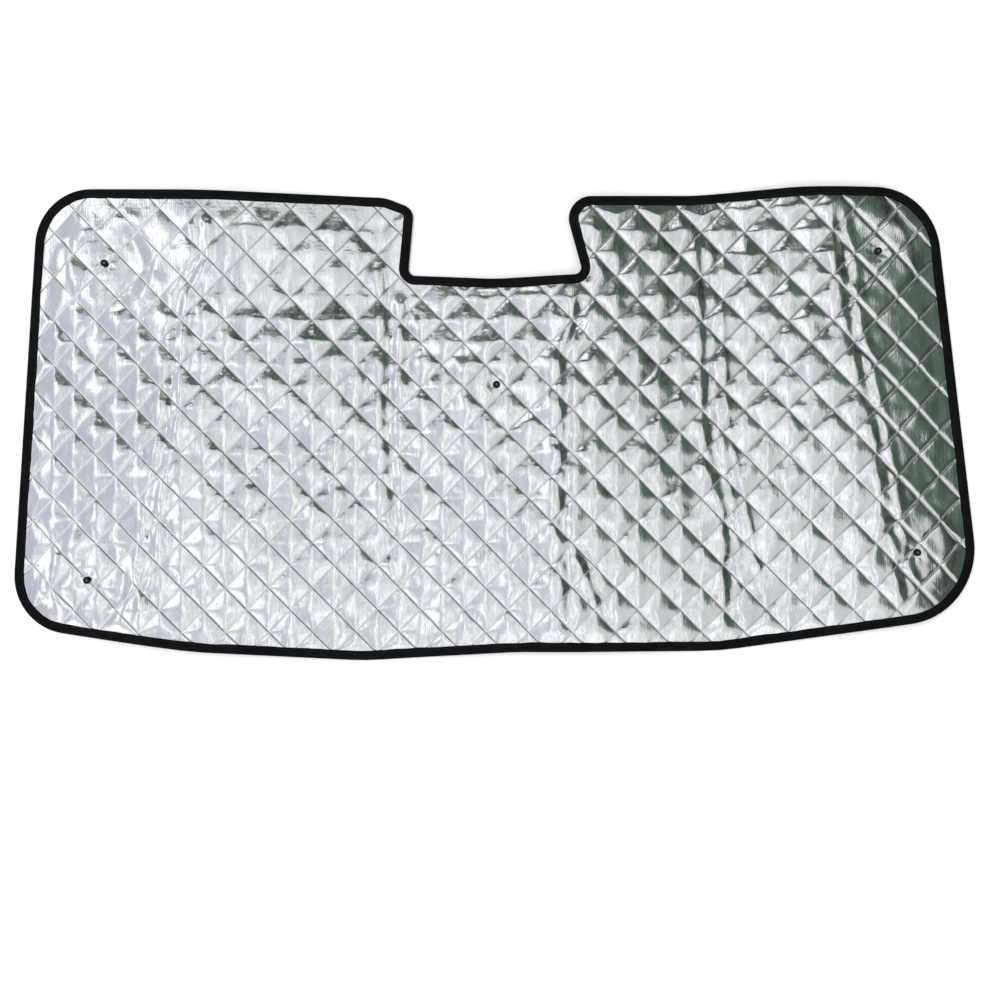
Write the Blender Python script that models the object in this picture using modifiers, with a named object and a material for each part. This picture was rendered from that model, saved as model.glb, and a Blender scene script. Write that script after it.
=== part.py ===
"""Insulated cab curtain: a quilted foil windscreen cover, laid out on its back.

Two sheets of metallised film hold a layer of wadding between them. Diagonal quilting lines pull the
stack down to a thin seam and leave a diamond of puffed wadding between each four of them. A folded tape
binds the edge, and five suction cups are pushed through punched holes. The cover still carries the
folds that it was packed with, so it lies in six shallow panels with a ridge or a valley between them.

X runs along the width, Y up towards the mirror notch, Z up from the floor that it lies on.
"""

import math

import bmesh
import bpy
from mathutils import Vector

# Main sizes of the curtain as it lies, along X and along Y.
WIDTH = 1.409
HEIGHT = 0.692


def spot(across, up):
    """A place on the curtain, in shares of its width and height from the middle."""
    return (across * WIDTH, up * HEIGHT)


# Notch for the mirror, cut into the upper edge.
NOTCH_WIDTH = 0.2556  # at its floor
NOTCH_DEPTH = 0.1122
NOTCH_SAG = 0.0064  # dip of the floor's middle
NOTCH_RIGHT_LEAN = 0.0309  # how far each mouth stands in over the floor
NOTCH_LEFT_LEAN = 0.0085
NOTCH_LEFT_DROP = 0.0150  # the left mouth curls down, lower than the right one
NOTCH_MIDDLE, NOTCH_TOP = spot(0.0008, 0.4769)
NOTCH_LEFT = NOTCH_MIDDLE - NOTCH_WIDTH / 2
NOTCH_RIGHT = NOTCH_MIDDLE + NOTCH_WIDTH / 2
NOTCH_FLOOR = NOTCH_TOP - NOTCH_DEPTH

# Finished edge, anticlockwise from the lower left: each corner's place and its radius.
LOWER_LEFT = spot(-0.5032, -0.4264)
LOWER_RIGHT = spot(0.5081, -0.3996)
UPPER_RIGHT = spot(0.4566, 0.5004)
UPPER_LEFT = spot(-0.4747, 0.4984)
BOW = 0.400  # radius at each of the lower edge's slight bends
DIP = 0.300  # the same for the upper edge and the notch's floor
EDGE_CORNERS = [
    (LOWER_LEFT, 0.084),
    (spot(-0.3129, -0.4809), BOW),
    (spot(-0.1340, -0.5008), BOW),
    (spot(0.0243, -0.4808), BOW),
    (spot(0.2349, -0.4801), BOW),
    (LOWER_RIGHT, 0.111),
    (UPPER_RIGHT, 0.097),
    (spot(0.3133, 0.4990), DIP),
    (spot(0.2068, 0.4834), DIP),
    ((NOTCH_RIGHT - NOTCH_RIGHT_LEAN, NOTCH_TOP), 0.033),
    ((NOTCH_RIGHT, NOTCH_FLOOR), 0.010),
    ((NOTCH_MIDDLE, NOTCH_FLOOR - NOTCH_SAG), DIP),
    ((NOTCH_LEFT, NOTCH_FLOOR), 0.010),
    ((NOTCH_LEFT + NOTCH_LEFT_LEAN, NOTCH_TOP - NOTCH_LEFT_DROP), 0.020),
    (spot(-0.1135, 0.4794), 0.060),
    (UPPER_LEFT, 0.083),
]
ARC_STEP = math.radians(24)
EDGE_STEP = 0.056  # longest straight stretch between two points of the edge

# Quilting: two families of seams, crossing in a grid of diamonds.
DIAMOND_WIDTH = 0.0632
DIAMOND_HEIGHT = 0.0649
CROSSING = spot(-0.4351, 0.2646)  # one place where two seams cross

# Layers, from the floor up.
FILM = 0.0004
SEAM_WADDING = 0.0010  # wadding pressed under a seam
PUFF = 0.0040  # rise of a full diamond's middle above its seams
SEAT_PUFF = 0.0008  # rise that a suction cup leaves of a diamond that it is pushed through
GAP = 0.0003
ROUNDING = 1e-7  # area below which a turn in a line is taken as straight

# Edge binding: a tape folded over the edge.
TAPE = 0.0008
TAPE_FLAP = 0.0135  # width that shows, from the finished edge inwards

# Packing folds: upper end, lower end, and the height of the lie at each end.
FOLDS = [
    (spot(-0.3019, 0.4933), spot(-0.3722, -0.4650), 0.0215, 0.0155),
    (spot(-0.1157, 0.4828), spot(-0.1002, -0.4925), 0.0, 0.0),
    (spot(0.0861, 0.3142), spot(0.0726, -0.4798), 0.0158, 0.0158),
    (spot(0.2185, 0.4828), spot(0.2495, -0.4714), 0.0, 0.0),
    (spot(0.3447, 0.4997), spot(0.4315, -0.4082), 0.0156, 0.0116),
]
LEFT_HEM = (UPPER_LEFT, LOWER_LEFT, 0.0, 0.0)
RIGHT_HEM = (UPPER_RIGHT, LOWER_RIGHT, 0.0, 0.0)
FOLD_SOFTNESS = 0.040  # half the width over which a fold is rounded

# Suction cups: a dished disc, a boss under the cover, a neck through it and a head on top.
CUP_PLACES = {
    "upper_left": spot(-0.4033, 0.3377),
    "upper_right": spot(0.3967, 0.3636),
    "centre": spot(0.0022, 0.0827),
    "lower_left": spot(-0.4213, -0.3298),
    "lower_right": spot(0.4373, -0.2713),
}
CUP_RADIUS = 0.0200
CUP_RIM = 0.0015  # flat ring that meets the glass
CUP_LIP = 0.0016  # height of the rim's outer side
CUP_WALL = 0.0016
CUP_BEND_RADIUS = 0.0144  # where the dish steepens
CUP_BEND_HEIGHT = 0.0047
CUP_DEPTH = 0.0075
BOSS_RADIUS = 0.0060
BOSS_HEIGHT = 0.0100  # top of the boss above the rim
NECK_RADIUS = 0.0026
HEAD_RADIUS = 0.0052
HEAD_SEAT_RADIUS = 0.0047
HEAD_HEIGHT = 0.0036
HEAD_EDGE = 0.0013  # height of the head's widest line above its seat
HEAD_DOME = (math.radians(45), math.radians(90))  # where the dome's outline turns
CUP_SEGMENTS = 16
HOLE_SEGMENTS = 12
SEAT_FLAT = 0.048  # radius that lies level round a cup
SEAT_BLEND = 0.075  # radius at which the lie is the folds' own again

# Heights in the stack, above the face that meets the floor.
BACK_FILM_Z = TAPE + GAP
WADDING_Z = BACK_FILM_Z + FILM + GAP
FRONT_FILM_Z = WADDING_Z + SEAM_WADDING + GAP
STACK = FRONT_FILM_Z + FILM + GAP + TAPE
CUP_LIE = BOSS_HEIGHT + GAP - BACK_FILM_Z  # lie over a cup that stands on the floor
NECK_LENGTH = FRONT_FILM_Z + FILM + SEAT_PUFF - BACK_FILM_Z + 2 * GAP

# Finishes: name, colour, roughness and how metallic.
GLOSSY, SATIN, MATT, FIBROUS = 0.22, 0.30, 0.85, 0.95
FOIL = ("metallised_film", (0.80, 0.81, 0.83, 1), GLOSSY, 1.0)
FILLING = ("wadding", (0.88, 0.88, 0.86, 1), FIBROUS, 0.0)
BINDING = ("binding_tape", (0.012, 0.012, 0.015, 1), MATT, 0.0)
SOFT_PVC = ("soft_pvc", (0.02, 0.02, 0.022, 1), SATIN, 0.0)


def clear_scene():
    for item in list(bpy.data.objects):
        bpy.data.objects.remove(item)


def material(name, colour, roughness, metallic):
    made = bpy.data.materials.get(name)
    if made:
        return made
    made = bpy.data.materials.new(name)
    made.use_nodes = True
    shader = made.node_tree.nodes["Principled BSDF"]
    shader.inputs["Base Color"].default_value = colour
    shader.inputs["Roughness"].default_value = roughness
    shader.inputs["Metallic"].default_value = metallic
    return made


def collection(name):
    made = bpy.data.collections.new(name)
    bpy.context.scene.collection.children.link(made)
    return made


def add_object(name, data, finish, home):
    made = bpy.data.objects.new(name, data)
    home.objects.link(made)
    if finish:
        data.materials.append(material(*finish))
    return made


def rounded_outline(corners):
    """The outline's points: every corner becomes an arc that touches both of its sides."""
    points = []
    for i, (place, radius) in enumerate(corners):
        corner = Vector(place)
        before = (Vector(corners[i - 1][0]) - corner).normalized()
        after = (Vector(corners[(i + 1) % len(corners)][0]) - corner).normalized()
        half = before.angle(after) / 2
        centre = corner + (before + after).normalized() * radius / math.sin(half)
        start = corner + before * radius / math.tan(half) - centre
        turn = math.pi - 2 * half
        if before.cross(after) > 0:
            turn = -turn
        steps = max(1, math.ceil(abs(turn) / ARC_STEP))
        for k in range(steps + 1):
            angle = turn * k / steps
            points.append(centre + Vector((
                start.x * math.cos(angle) - start.y * math.sin(angle),
                start.x * math.sin(angle) + start.y * math.cos(angle),
            )))
    return points


def spaced(points, step):
    """The same closed line with extra points on its long straight stretches."""
    line = []
    for here, there in zip(points, points[1:] + points[:1]):
        parts = math.ceil((there - here).length / step)
        line += [here.lerp(there, k / parts) for k in range(parts)]
    return line


def inwards(points, distance):
    """The closed line moved inwards by a distance, corner for corner."""
    moved = []
    for i, here in enumerate(points):
        before = (here - points[i - 1]).normalized()
        after = (points[(i + 1) % len(points)] - here).normalized()
        inner = Vector((-before.y - after.y, before.x + after.x)).normalized()
        moved.append(here + inner * distance / inner.dot(Vector((-after.y, after.x))))
    return moved


def centre_of(points):
    xs = [p.x for p in points]
    ys = [p.y for p in points]
    return Vector(((min(xs) + max(xs)) / 2, (min(ys) + max(ys)) / 2, 0))


def fold_at(fold, y):
    """X of a fold line at a given Y, and the height of the lie there."""
    (top_x, top_y), (low_x, low_y), top_z, low_z = fold
    share = (y - low_y) / (top_y - low_y)
    held = min(max(share, 0.0), 1.0)
    return low_x + (top_x - low_x) * share, low_z + (top_z - low_z) * held


def folded_height(x, y):
    """Height of the lie where only the folds shape it: slopes from fold to fold, rounded at each fold."""
    line = [fold_at(fold, y) for fold in [LEFT_HEM, *FOLDS, RIGHT_HEM]]
    slopes = [(z1 - z0) / (x1 - x0) for (x0, z0), (x1, z1) in zip(line, line[1:])]
    height = line[0][1]
    for (x0, _), (x1, _), slope in zip(line, line[1:], slopes):
        height += slope * (min(max(x, x0), x1) - x0)
    for (fold_x, _), left, right in zip(line[1:-1], slopes, slopes[1:]):
        near = max(0.0, FOLD_SOFTNESS - abs(x - fold_x))
        height += (right - left) * near**2 / (4 * FOLD_SOFTNESS)
    return height


def lie_height(x, y):
    """Height of the lie, level round each suction cup."""
    height = folded_height(x, y)
    for place in CUP_PLACES.values():
        away = (Vector((x, y)) - Vector(place)).length
        share = min(max((SEAT_BLEND - away) / (SEAT_BLEND - SEAT_FLAT), 0.0), 1.0)
        share = share * share * (3 - 2 * share)
        height += (CUP_LIE - height) * share
    return height


def closed_line(mesh, points, heights):
    """A ring of edges through the points, each of which holds its own height of the lie."""
    lie = mesh.verts.layers.float["lie"]
    corners = [mesh.verts.new((p.x, p.y, 0)) for p in points]
    for corner, height in zip(corners, heights):
        corner[lie] = height
    return [mesh.edges.new(pair) for pair in zip(corners, corners[1:] + corners[:1])]


def cut_quilting(mesh, border):
    """Cuts both families of seams over everything inside the binding."""
    reach = math.ceil(WIDTH / DIAMOND_WIDTH) + 1
    for i in range(-reach, 2 * reach):
        for rise in (DIAMOND_HEIGHT, -DIAMOND_HEIGHT):
            faces = [face for face in mesh.faces if not face[border]]
            edges = {edge for face in faces for edge in face.edges}
            corners = {corner for face in faces for corner in face.verts}
            bmesh.ops.bisect_plane(
                mesh, geom=[*faces, *edges, *corners], dist=1e-6,
                plane_co=(CROSSING[0] + i * DIAMOND_WIDTH, CROSSING[1], 0),
                plane_no=Vector((rise, -DIAMOND_WIDTH, 0)).normalized(),
            )


def turns(face):
    """How far a face turns at each corner, as the area between the two sides there."""
    return [
        (loop.vert.co - loop.link_loop_prev.vert.co).cross(
            loop.link_loop_next.vert.co - loop.vert.co).z
        for loop in face.loops
    ]


def has_dent(face):
    """True where a corner of the notch cuts into a diamond, which then stays flat."""
    return min(turns(face)) < -ROUNDING and max(turns(face)) > ROUNDING


def cut_sheet(outline):
    """The flat sheet that every layer starts from: a strip under the binding, and the quilted field.

    The strip lies level across, at the height of the edge beside it, as the tape holds it.
    """
    heights = [lie_height(*point) for point in outline]
    mesh = bmesh.new()
    lie = mesh.verts.layers.float.new("lie")
    border = mesh.faces.layers.int.new("border")
    rim = closed_line(mesh, inwards(outline, TAPE + GAP), heights)
    hem = closed_line(mesh, inwards(outline, TAPE_FLAP + GAP), heights)
    mesh.faces.new([edge.verts[0] for edge in hem])
    for face in bmesh.ops.bridge_loops(mesh, edges=rim + hem)["faces"]:
        face[border] = 1
    bmesh.ops.recalc_face_normals(mesh, faces=mesh.faces[:])
    cut_quilting(mesh, border)
    dented = [face for face in mesh.faces if not face[border] and has_dent(face)]
    for face in bmesh.ops.triangulate(mesh, faces=dented)["faces"]:
        face[border] = 1
    for corner in mesh.verts:
        if not any(face[border] for face in corner.link_faces):
            corner[lie] = lie_height(corner.co.x, corner.co.y)
    return mesh


def holds(face, place):
    """True where a flat place lies inside a convex face, seen from above."""
    sides = [
        (loop.link_loop_next.vert.co - loop.vert.co).xy.cross(place - loop.vert.co.xy)
        for loop in face.loops
    ]
    return min(sides) > 0 or max(sides) < 0


def puff_up(mesh, cells, level):
    """Raises the middle of each diamond, less where the edge has cut it small or a cup holds it down."""
    full = DIAMOND_WIDTH * DIAMOND_HEIGHT / 2
    for cell in cells:
        seats = [Vector(place) for place in CUP_PLACES.values() if holds(cell, Vector(place))]
        share = min(1.0, math.sqrt(cell.calc_area() / full))
        middle = bmesh.ops.poke(mesh, faces=[cell])["verts"][0]
        middle.co.xy = seats[0] if seats else middle.co.xy
        rise = SEAT_PUFF if seats else PUFF * share
        middle.co.z = lie_height(middle.co.x, middle.co.y) + level + rise


def quilted_layer(name, sheet, low, high, puffed_sides, finish, home, punch):
    """One layer of the quilt: a slab from low to high, its named sides puffed between the seams."""
    mesh = sheet.copy()
    lie = mesh.verts.layers.float["lie"]
    border = mesh.faces.layers.int["border"]
    raised = bmesh.ops.extrude_face_region(mesh, geom=mesh.faces[:])["geom"]
    upper = {item for item in raised if isinstance(item, bmesh.types.BMVert)}
    for corner in mesh.verts:
        corner.co.z = corner[lie] + (high if corner in upper else low)
    bmesh.ops.recalc_face_normals(mesh, faces=mesh.faces[:])
    for side, level in puffed_sides:
        cells = [f for f in mesh.faces if f.normal.z * side > 0.5 and not f[border]]
        puff_up(mesh, cells, level)
    bmesh.ops.triangulate(mesh, faces=mesh.faces[:], quad_method="FIXED")
    data = bpy.data.meshes.new(name)
    mesh.to_mesh(data)
    mesh.free()
    made = add_object(name, data, finish, home)
    cut = made.modifiers.new("punched_holes", "BOOLEAN")
    cut.operation = "DIFFERENCE"
    cut.object = punch
    return made


def hole_punch(home):
    """Five upright rods, one at each suction cup, that punch the layers."""
    mesh = bmesh.new()
    radius = NECK_RADIUS + GAP
    height = BOSS_HEIGHT + NECK_LENGTH + HEAD_HEIGHT
    for place in CUP_PLACES.values():
        rod = bmesh.ops.create_cone(
            mesh, cap_ends=True, segments=HOLE_SEGMENTS, radius1=radius, radius2=radius, depth=height
        )
        bmesh.ops.translate(mesh, verts=rod["verts"], vec=(*place, height / 2))
    data = bpy.data.meshes.new("hole_punch")
    mesh.to_mesh(data)
    mesh.free()
    punch = add_object("hole_punch", data, None, home)
    punch.hide_render = True
    punch.display_type = "WIRE"
    return punch


def edge_binding(outline, home):
    """The folded tape: its U section is drawn out point by point into rings that follow the edge."""
    section = [
        (0, TAPE), (0, STACK - TAPE), (TAPE, STACK), (TAPE_FLAP, STACK), (TAPE_FLAP, STACK - TAPE),
        (TAPE, STACK - TAPE), (TAPE, TAPE), (TAPE_FLAP, TAPE), (TAPE_FLAP, 0), (TAPE, 0),
    ]
    mesh = bmesh.new()
    place = mesh.verts.layers.int.new("place")
    corners = [mesh.verts.new((*point, 0)) for point in outline]
    for i, corner in enumerate(corners):
        corner[place] = i
    ring = [mesh.edges.new(pair) for pair in zip(corners, corners[1:] + corners[:1])]
    for step, (distance, height) in enumerate([*section, section[0]]):
        if step:
            drawn = bmesh.ops.extrude_edge_only(mesh, edges=ring)["geom"]
            ring = [item for item in drawn if isinstance(item, bmesh.types.BMEdge)]
            corners = [item for item in drawn if isinstance(item, bmesh.types.BMVert)]
        line = inwards(outline, distance)
        for corner in corners:
            i = corner[place]
            corner.co = (*line[i], lie_height(*outline[i]) + height)
    bmesh.ops.remove_doubles(mesh, verts=mesh.verts[:], dist=1e-6)
    bmesh.ops.recalc_face_normals(mesh, faces=mesh.faces[:])
    data = bpy.data.meshes.new("edge_binding")
    mesh.to_mesh(data)
    mesh.free()
    return add_object("edge_binding", data, BINDING, home)


def cup_profile():
    """Half section of a suction cup, from the head's top down the outside and back up the dish."""
    head = BOSS_HEIGHT + NECK_LENGTH
    dome = HEAD_HEIGHT - HEAD_EDGE
    outside = [(0, head + HEAD_HEIGHT)]
    outside += [
        (HEAD_RADIUS * math.sin(angle), head + HEAD_EDGE + dome * math.cos(angle))
        for angle in HEAD_DOME
    ]
    outside += [
        (HEAD_SEAT_RADIUS, head), (NECK_RADIUS, head), (NECK_RADIUS, BOSS_HEIGHT),
        (BOSS_RADIUS, BOSS_HEIGHT), (BOSS_RADIUS, CUP_DEPTH),
        (CUP_BEND_RADIUS, CUP_BEND_HEIGHT), (CUP_RADIUS, CUP_LIP), (CUP_RADIUS, 0),
    ]
    inside = [
        (CUP_RADIUS - CUP_RIM, 0), (CUP_BEND_RADIUS - CUP_WALL / 2, CUP_BEND_HEIGHT - CUP_WALL),
        (0, CUP_DEPTH - CUP_WALL),
    ]
    return outside + inside


def suction_cup(name, place, home):
    """One moulded cup, turned about its own axis and standing under its hole."""
    mesh = bmesh.new()
    points = [mesh.verts.new((r, 0, z)) for r, z in cup_profile()]
    for first, second in zip(points, points[1:]):
        mesh.edges.new((first, second))
    data = bpy.data.meshes.new(name)
    mesh.to_mesh(data)
    mesh.free()
    made = add_object(name, data, SOFT_PVC, home)
    turn = made.modifiers.new("turn", "SCREW")
    turn.steps = CUP_SEGMENTS
    turn.render_steps = CUP_SEGMENTS
    turn.use_merge_vertices = True
    turn.merge_threshold = 0.00001
    made.location = (*place, 0)
    return made


def build():
    clear_scene()
    parts = collection("insulated_cab_curtain")
    helpers = collection("cutters")
    outline = spaced(rounded_outline(EDGE_CORNERS), EDGE_STEP)
    sheet = cut_sheet(outline)
    punch = hole_punch(helpers)
    wadding_top = WADDING_Z + SEAM_WADDING
    film_top = FRONT_FILM_Z + FILM
    quilted_layer("back_film", sheet, BACK_FILM_Z, BACK_FILM_Z + FILM, [], FOIL, parts, punch)
    quilted_layer("wadding", sheet, WADDING_Z, wadding_top, [(1, wadding_top)], FILLING, parts, punch)
    quilted_layer("front_film", sheet, FRONT_FILM_Z, film_top,
                  [(-1, FRONT_FILM_Z), (1, film_top)], FOIL, parts, punch)
    edge_binding(outline, parts)
    for name, place in CUP_PLACES.items():
        suction_cup(f"suction_cup_{name}", place, parts)
    for made in [*parts.objects, *helpers.objects]:
        made.location -= centre_of(outline)


build()
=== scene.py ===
import math

import bmesh
import bpy
import numpy as np
from mathutils import Matrix, Vector, noise


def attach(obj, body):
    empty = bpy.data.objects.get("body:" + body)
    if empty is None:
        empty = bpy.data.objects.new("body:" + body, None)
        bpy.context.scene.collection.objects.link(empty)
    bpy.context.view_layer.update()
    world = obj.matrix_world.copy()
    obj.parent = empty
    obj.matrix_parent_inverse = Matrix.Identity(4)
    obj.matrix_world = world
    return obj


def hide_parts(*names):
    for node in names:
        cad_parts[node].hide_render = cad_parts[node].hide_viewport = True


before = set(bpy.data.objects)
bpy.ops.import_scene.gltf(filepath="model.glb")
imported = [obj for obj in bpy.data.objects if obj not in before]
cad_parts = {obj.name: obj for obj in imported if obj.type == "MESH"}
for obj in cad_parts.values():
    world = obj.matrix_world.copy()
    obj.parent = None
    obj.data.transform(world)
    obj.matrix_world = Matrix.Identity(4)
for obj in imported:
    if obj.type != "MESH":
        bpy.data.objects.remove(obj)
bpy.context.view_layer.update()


# The curtain as it lies, from the part's own sizes: metres, X across, Y up to the mirror notch.
curtain = {
    "width": 1.409,
    "height": 0.692,
    "shift": (0.000360, -0.000290),  # from the drawing's middle to the middle of the box
    "film": 0.0035,  # top of the front film above the lie, at a seam
    "wadding": (0.0018, 0.0028),  # its underside and top, at a seam
    "backFilm": 0.0011,
    "stack": 0.0046,  # top of the binding above the lie
    "tape": 0.0008,
    "flap": 0.0135,  # width of binding that shows
    "foldSoftness": 0.040,  # half the width over which a fold is rounded
    "cupLie": 0.0092,  # lie over a cup that stands on the floor
    "seatFlat": 0.048,  # radius that lies level round a cup
    "seatBlend": 0.075,  # radius at which the folds shape the lie again
    "arcStep": math.radians(6),  # turn between two points of a round corner
    "edgeStep": 0.012,  # longest straight stretch between two points
    "filmCut": 0.0016,  # how far inside the finished edge the films end
    "waddingCut": 0.0024,
}


def spot(across, up):
    return (across * curtain["width"] + curtain["shift"][0], up * curtain["height"] + curtain["shift"][1])


notch = {
    "width": 0.2556,  # at its floor
    "depth": 0.1122,
    "sag": 0.0064,  # dip of the floor's middle
    "rightLean": 0.0309,  # how far each mouth stands in over the floor
    "leftLean": 0.0085,
    "leftDrop": 0.0150,  # the left mouth curls down, lower than the right one
}
notchMiddle, notchTop = spot(0.0008, 0.4769)
notchFloor = notchTop - notch["depth"]
notchLeft, notchRight = notchMiddle - notch["width"] / 2, notchMiddle + notch["width"] / 2

lowerLeft, lowerRight = spot(-0.5032, -0.4264), spot(0.5081, -0.3996)
upperRight, upperLeft = spot(0.4566, 0.5004), spot(-0.4747, 0.4984)
bow, dip = 0.400, 0.300  # radius at the slight bends of the lower edge, and of the upper one
edgeCorners = [  # place and radius, anticlockwise from the lower left
    (lowerLeft, 0.084),
    (spot(-0.3129, -0.4809), bow), (spot(-0.1340, -0.5008), bow),
    (spot(0.0243, -0.4808), bow), (spot(0.2349, -0.4801), bow),
    (lowerRight, 0.111), (upperRight, 0.097),
    (spot(0.3133, 0.4990), dip), (spot(0.2068, 0.4834), dip),
    ((notchRight - notch["rightLean"], notchTop), 0.033), ((notchRight, notchFloor), 0.010),
    ((notchMiddle, notchFloor - notch["sag"]), dip),
    ((notchLeft, notchFloor), 0.010), ((notchLeft + notch["leftLean"], notchTop - notch["leftDrop"]), 0.020),
    (spot(-0.1135, 0.4794), 0.060), (upperLeft, 0.083),
]
folds = [  # upper end, lower end, height of the lie at each
    (spot(-0.3019, 0.4933), spot(-0.3722, -0.4650), 0.0215, 0.0155),
    (spot(-0.1157, 0.4828), spot(-0.1002, -0.4925), 0.0, 0.0),
    (spot(0.0861, 0.3142), spot(0.0726, -0.4798), 0.0158, 0.0158),
    (spot(0.2185, 0.4828), spot(0.2495, -0.4714), 0.0, 0.0),
    (spot(0.3447, 0.4997), spot(0.4315, -0.4082), 0.0156, 0.0116),
]
cupSpots = {
    "upper_left": spot(-0.4033, 0.3377), "upper_right": spot(0.3967, 0.3636), "centre": spot(0.0022, 0.0827),
    "lower_left": spot(-0.4213, -0.3298), "lower_right": spot(0.4373, -0.2713),
}
quilt = {
    "across": 0.0632,  # a diamond's width and height
    "up": 0.0649,
    "crossing": spot(-0.4351, 0.2646),  # one place where two seams cross
    "first": (-10, -5),  # numbers of the outermost seams of each family
    "last": (24, 30),
    "steps": 14,  # grid steps between two seams, in the front film and in the layers under it
    "backSteps": 7,
    "waddingSteps": 5,
}


def roundedOutline(cornersIn, arcStep, edgeStep):
    line = []
    for i, (place, radius) in enumerate(cornersIn):
        corner = Vector(place)
        before = (Vector(cornersIn[i - 1][0]) - corner).normalized()
        after = (Vector(cornersIn[(i + 1) % len(cornersIn)][0]) - corner).normalized()
        half = before.angle(after) / 2
        centre = corner + (before + after).normalized() * radius / math.sin(half)
        start = corner + before * radius / math.tan(half) - centre
        turn = math.pi - 2 * half
        if before.cross(after) > 0:
            turn = -turn
        steps = max(1, math.ceil(abs(turn) / arcStep))
        for k in range(steps + 1):
            line.append(centre + Matrix.Rotation(turn * k / steps, 2) @ start)
    spacedLine = []
    for here, there in zip(line, line[1:] + line[:1]):
        parts = max(1, math.ceil((there - here).length / edgeStep))
        spacedLine += [here.lerp(there, k / parts) for k in range(parts)]
    return np.array([list(p) for p in spacedLine])


def liePlain(x, y):
    hems = [(upperLeft, lowerLeft, 0.0, 0.0), *folds, (upperRight, lowerRight, 0.0, 0.0)]
    lineX, lineZ = [], []
    for (topX, topY), (lowX, lowY), topZ, lowZ in hems:
        share = (y - lowY) / (topY - lowY)
        lineX.append(lowX + (topX - lowX) * share)
        lineZ.append(lowZ + (topZ - lowZ) * np.clip(share, 0, 1))
    slopes = [(lineZ[i + 1] - lineZ[i]) / (lineX[i + 1] - lineX[i]) for i in range(len(hems) - 1)]
    height = lineZ[0].copy()
    for i, slope in enumerate(slopes):
        height += slope * (np.clip(x, lineX[i], lineX[i + 1]) - lineX[i])
    for i in range(1, len(hems) - 1):
        near = np.maximum(0, curtain["foldSoftness"] - np.abs(x - lineX[i]))
        height += (slopes[i] - slopes[i - 1]) * near**2 / (4 * curtain["foldSoftness"])
    return height


def smooth(value, low, high):
    share = np.clip((value - low) / (high - low), 0, 1)
    return share * share * (3 - 2 * share)


def lieHeight(x, y):
    height = liePlain(x, y)
    for cx, cy in cupSpots.values():
        share = 1 - smooth(np.hypot(x - cx, y - cy), curtain["seatFlat"], curtain["seatBlend"])
        height += (curtain["cupLie"] - height) * share
    return height


outline = roundedOutline(edgeCorners, curtain["arcStep"], curtain["edgeStep"])
outlineNext = np.roll(outline, -1, axis=0)
outlineLie = lieHeight(outline[:, 0], outline[:, 1])


# Distance inside the finished edge, negative outside it, and the lie of the nearest edge.
def insideOf(x, y):
    best = np.full(x.shape, np.inf)
    lie = np.zeros(x.shape)
    odd = np.zeros(x.shape, bool)
    for (ax, ay), (bx, by), zA, zB in zip(outline, outlineNext, outlineLie, np.roll(outlineLie, -1)):
        dx, dy = bx - ax, by - ay
        share = np.clip(((x - ax) * dx + (y - ay) * dy) / (dx * dx + dy * dy), 0, 1)
        away = np.hypot(x - ax - share * dx, y - ay - share * dy)
        closer = away < best
        best[closer] = away[closer]
        lie[closer] = (zA + (zB - zA) * share)[closer]
        crosses = (ay > y) != (by > y)
        if dy:  # counts the edges to the left of each point
            odd ^= crosses & (x < ax + (y - ay) / dy * dx)
    return np.where(odd, best, -best), lie


# Creases left by packing, and the unevenness of the whole lie.

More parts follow.
